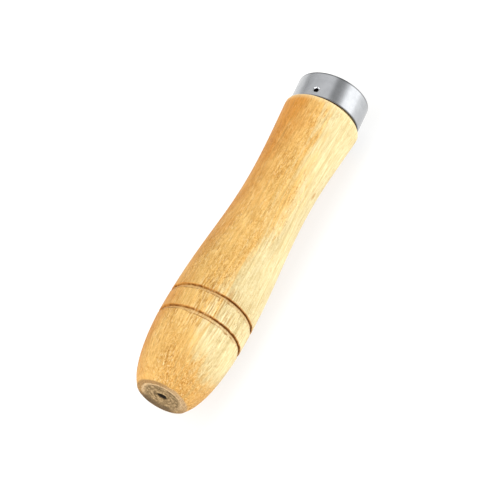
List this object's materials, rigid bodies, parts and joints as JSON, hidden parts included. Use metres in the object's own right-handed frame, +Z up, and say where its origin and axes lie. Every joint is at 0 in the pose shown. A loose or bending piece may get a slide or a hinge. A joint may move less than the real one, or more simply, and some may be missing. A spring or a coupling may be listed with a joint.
{
  "type": "wooden tool handle",
  "caption": "Turned hardwood tool handle with two scored grooves, a waist and a short steel ferrule round its tang hole.",
  "frame": {"origin": "middle of the box that the handle fills, at the level of the surface it lies on", "axes": "+X along the handle from its butt to the tang end, +Z up, +Y completes a right-handed frame"},
  "size_m": [0.1206, 0.0276, 0.0275],
  "materials": {
    "wood": "smooth sanded pale hardwood, lightly sealed",
    "steel": "bright zinc or nickel plated steel"
  },
  "bodies": {
    "root": {"handle_body": "wood", "ferrule": "steel"}
  },
  "joints": []
}
